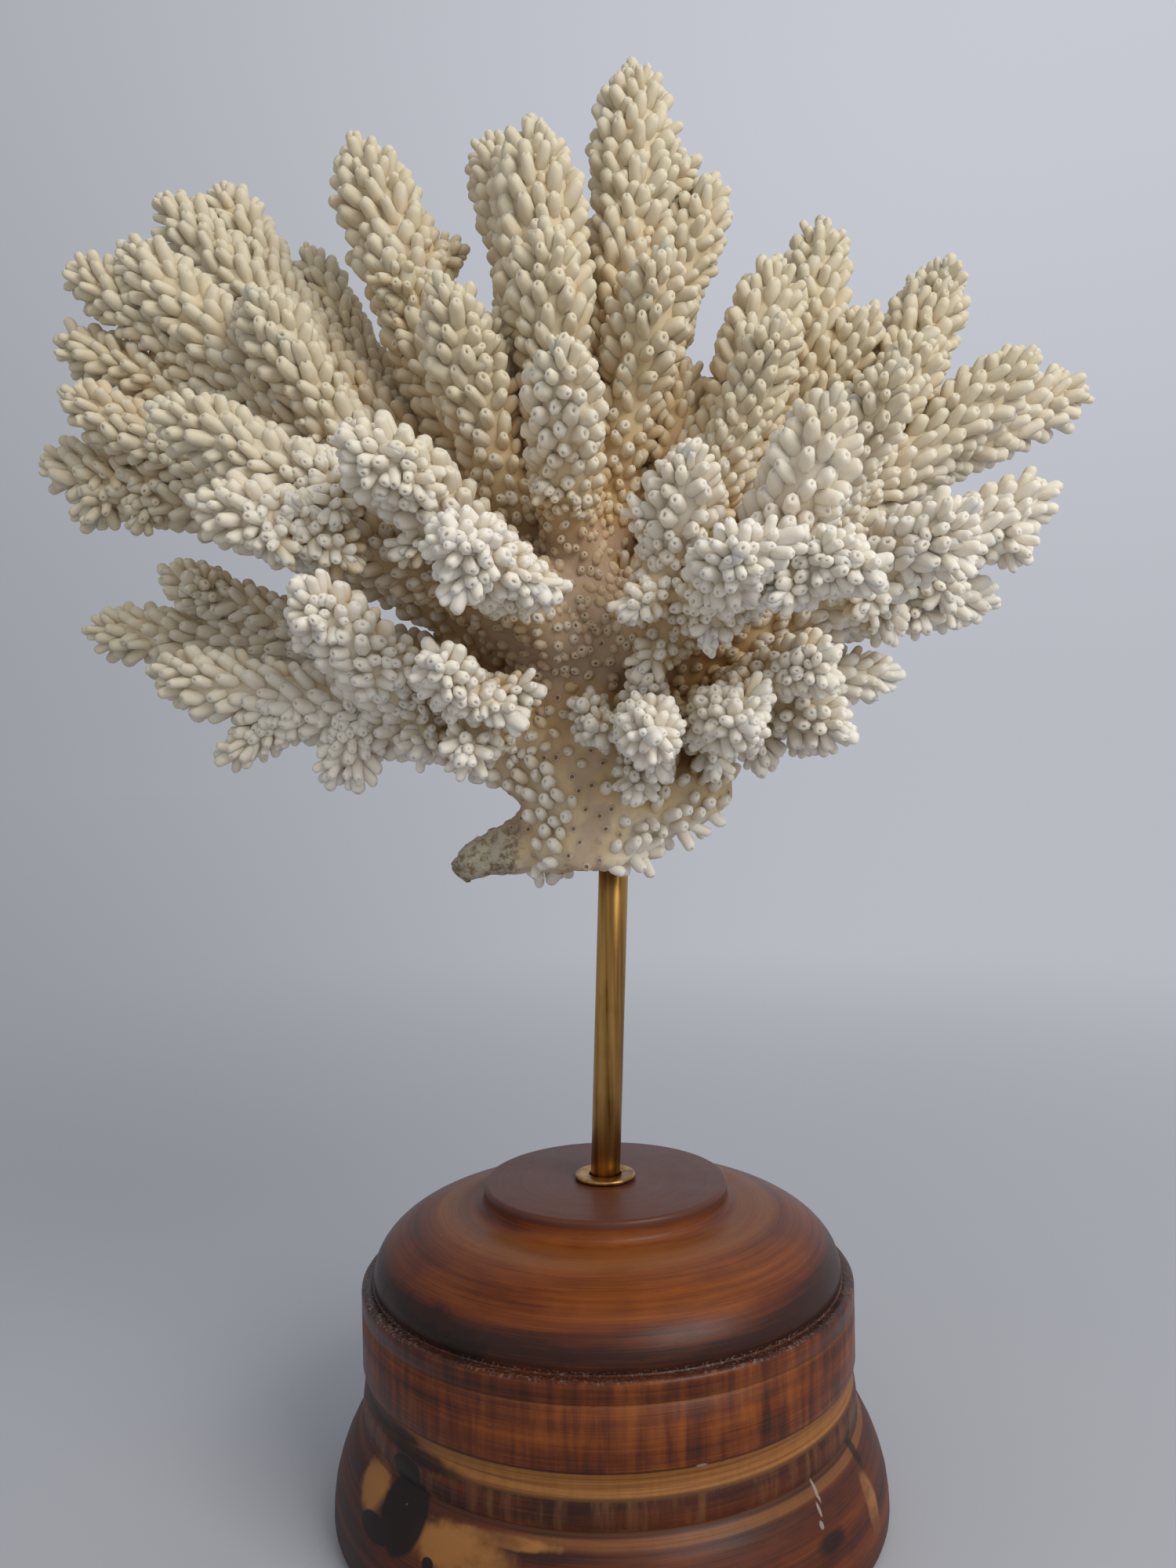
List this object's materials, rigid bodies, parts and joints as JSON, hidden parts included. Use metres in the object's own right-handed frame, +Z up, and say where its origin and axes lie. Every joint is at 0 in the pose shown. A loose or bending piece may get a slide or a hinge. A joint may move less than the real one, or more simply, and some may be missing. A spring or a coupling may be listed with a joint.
{
  "type": "branching coral specimen on a stand",
  "caption": "Branching coral colony with crowded tubular corallites, fixed on a slim brass rod above a turned and stained wooden base; it stands free on a flat underside.",
  "frame": {"origin": "middle of the wooden base's flat underside", "axes": "+Z up the base's turning axis, +X along the colony's wide spread to the side the rod leans to, -Y towards the colony's fuller front"},
  "size_m": [0.2286, 0.124, 0.302],
  "materials": {
    "coral": "matte",
    "coral_stem": "matte",
    "stained_wood": "satin",
    "brass": "satin"
  },
  "bodies": {
    "root": {"turned_base": "stained_wood", "brass_washer": "brass", "brass_rod": "brass", "coral_stem": "coral_stem", "branch_left_top": "coral", "branch_left_high": "coral", "branch_left_out": "coral", "branch_left_mid": "coral", "branch_left_back": "coral", "branch_left_low": "coral", "branch_front_left": "coral", "branch_front_star": "coral", "branch_crown_left": "coral", "branch_crown_mid": "coral", "branch_crown_high": "coral", "branch_front_right": "coral", "branch_right_high": "coral", "branch_right_back": "coral", "branch_right_mid": "coral", "branch_right_low": "coral", "branch_right_under": "coral", "branch_back_left": "coral", "branch_back_mid": "coral", "branch_back_right": "coral", "fork_left_top_inner": "coral", "fork_left_top_back": "coral", "fork_left_high_outer": "coral", "fork_left_high_low": "coral", "fork_left_high_front": "coral", "fork_left_out_upper": "coral", "fork_left_mid_low": "coral", "fork_left_back_upper": "coral", "fork_left_low_front": "coral", "fork_left_low_inner": "coral", "fork_crown_left_front": "coral", "fork_crown_mid_back": "coral", "fork_crown_mid_front": "coral", "fork_crown_mid_low": "coral", "fork_crown_high_right": "coral", "fork_crown_high_front": "coral", "fork_front_right_up": "coral", "fork_front_right_star": "coral", "fork_front_right_low": "coral", "fork_right_high_front": "coral", "fork_right_back_outer": "coral", "fork_right_mid_back": "coral", "fork_right_mid_up": "coral", "fork_right_mid_front": "coral", "fork_right_mid_outer": "coral", "fork_right_low_front": "coral", "fork_right_low_under": "coral", "fork_right_under_ledge": "coral", "fork_right_under_left": "coral", "fork_right_under_front": "coral", "fork_right_under_outer": "coral", "fork_back_left_out": "coral", "fork_back_mid_low": "coral", "fork_back_right_out": "coral"}
  },
  "joints": []
}
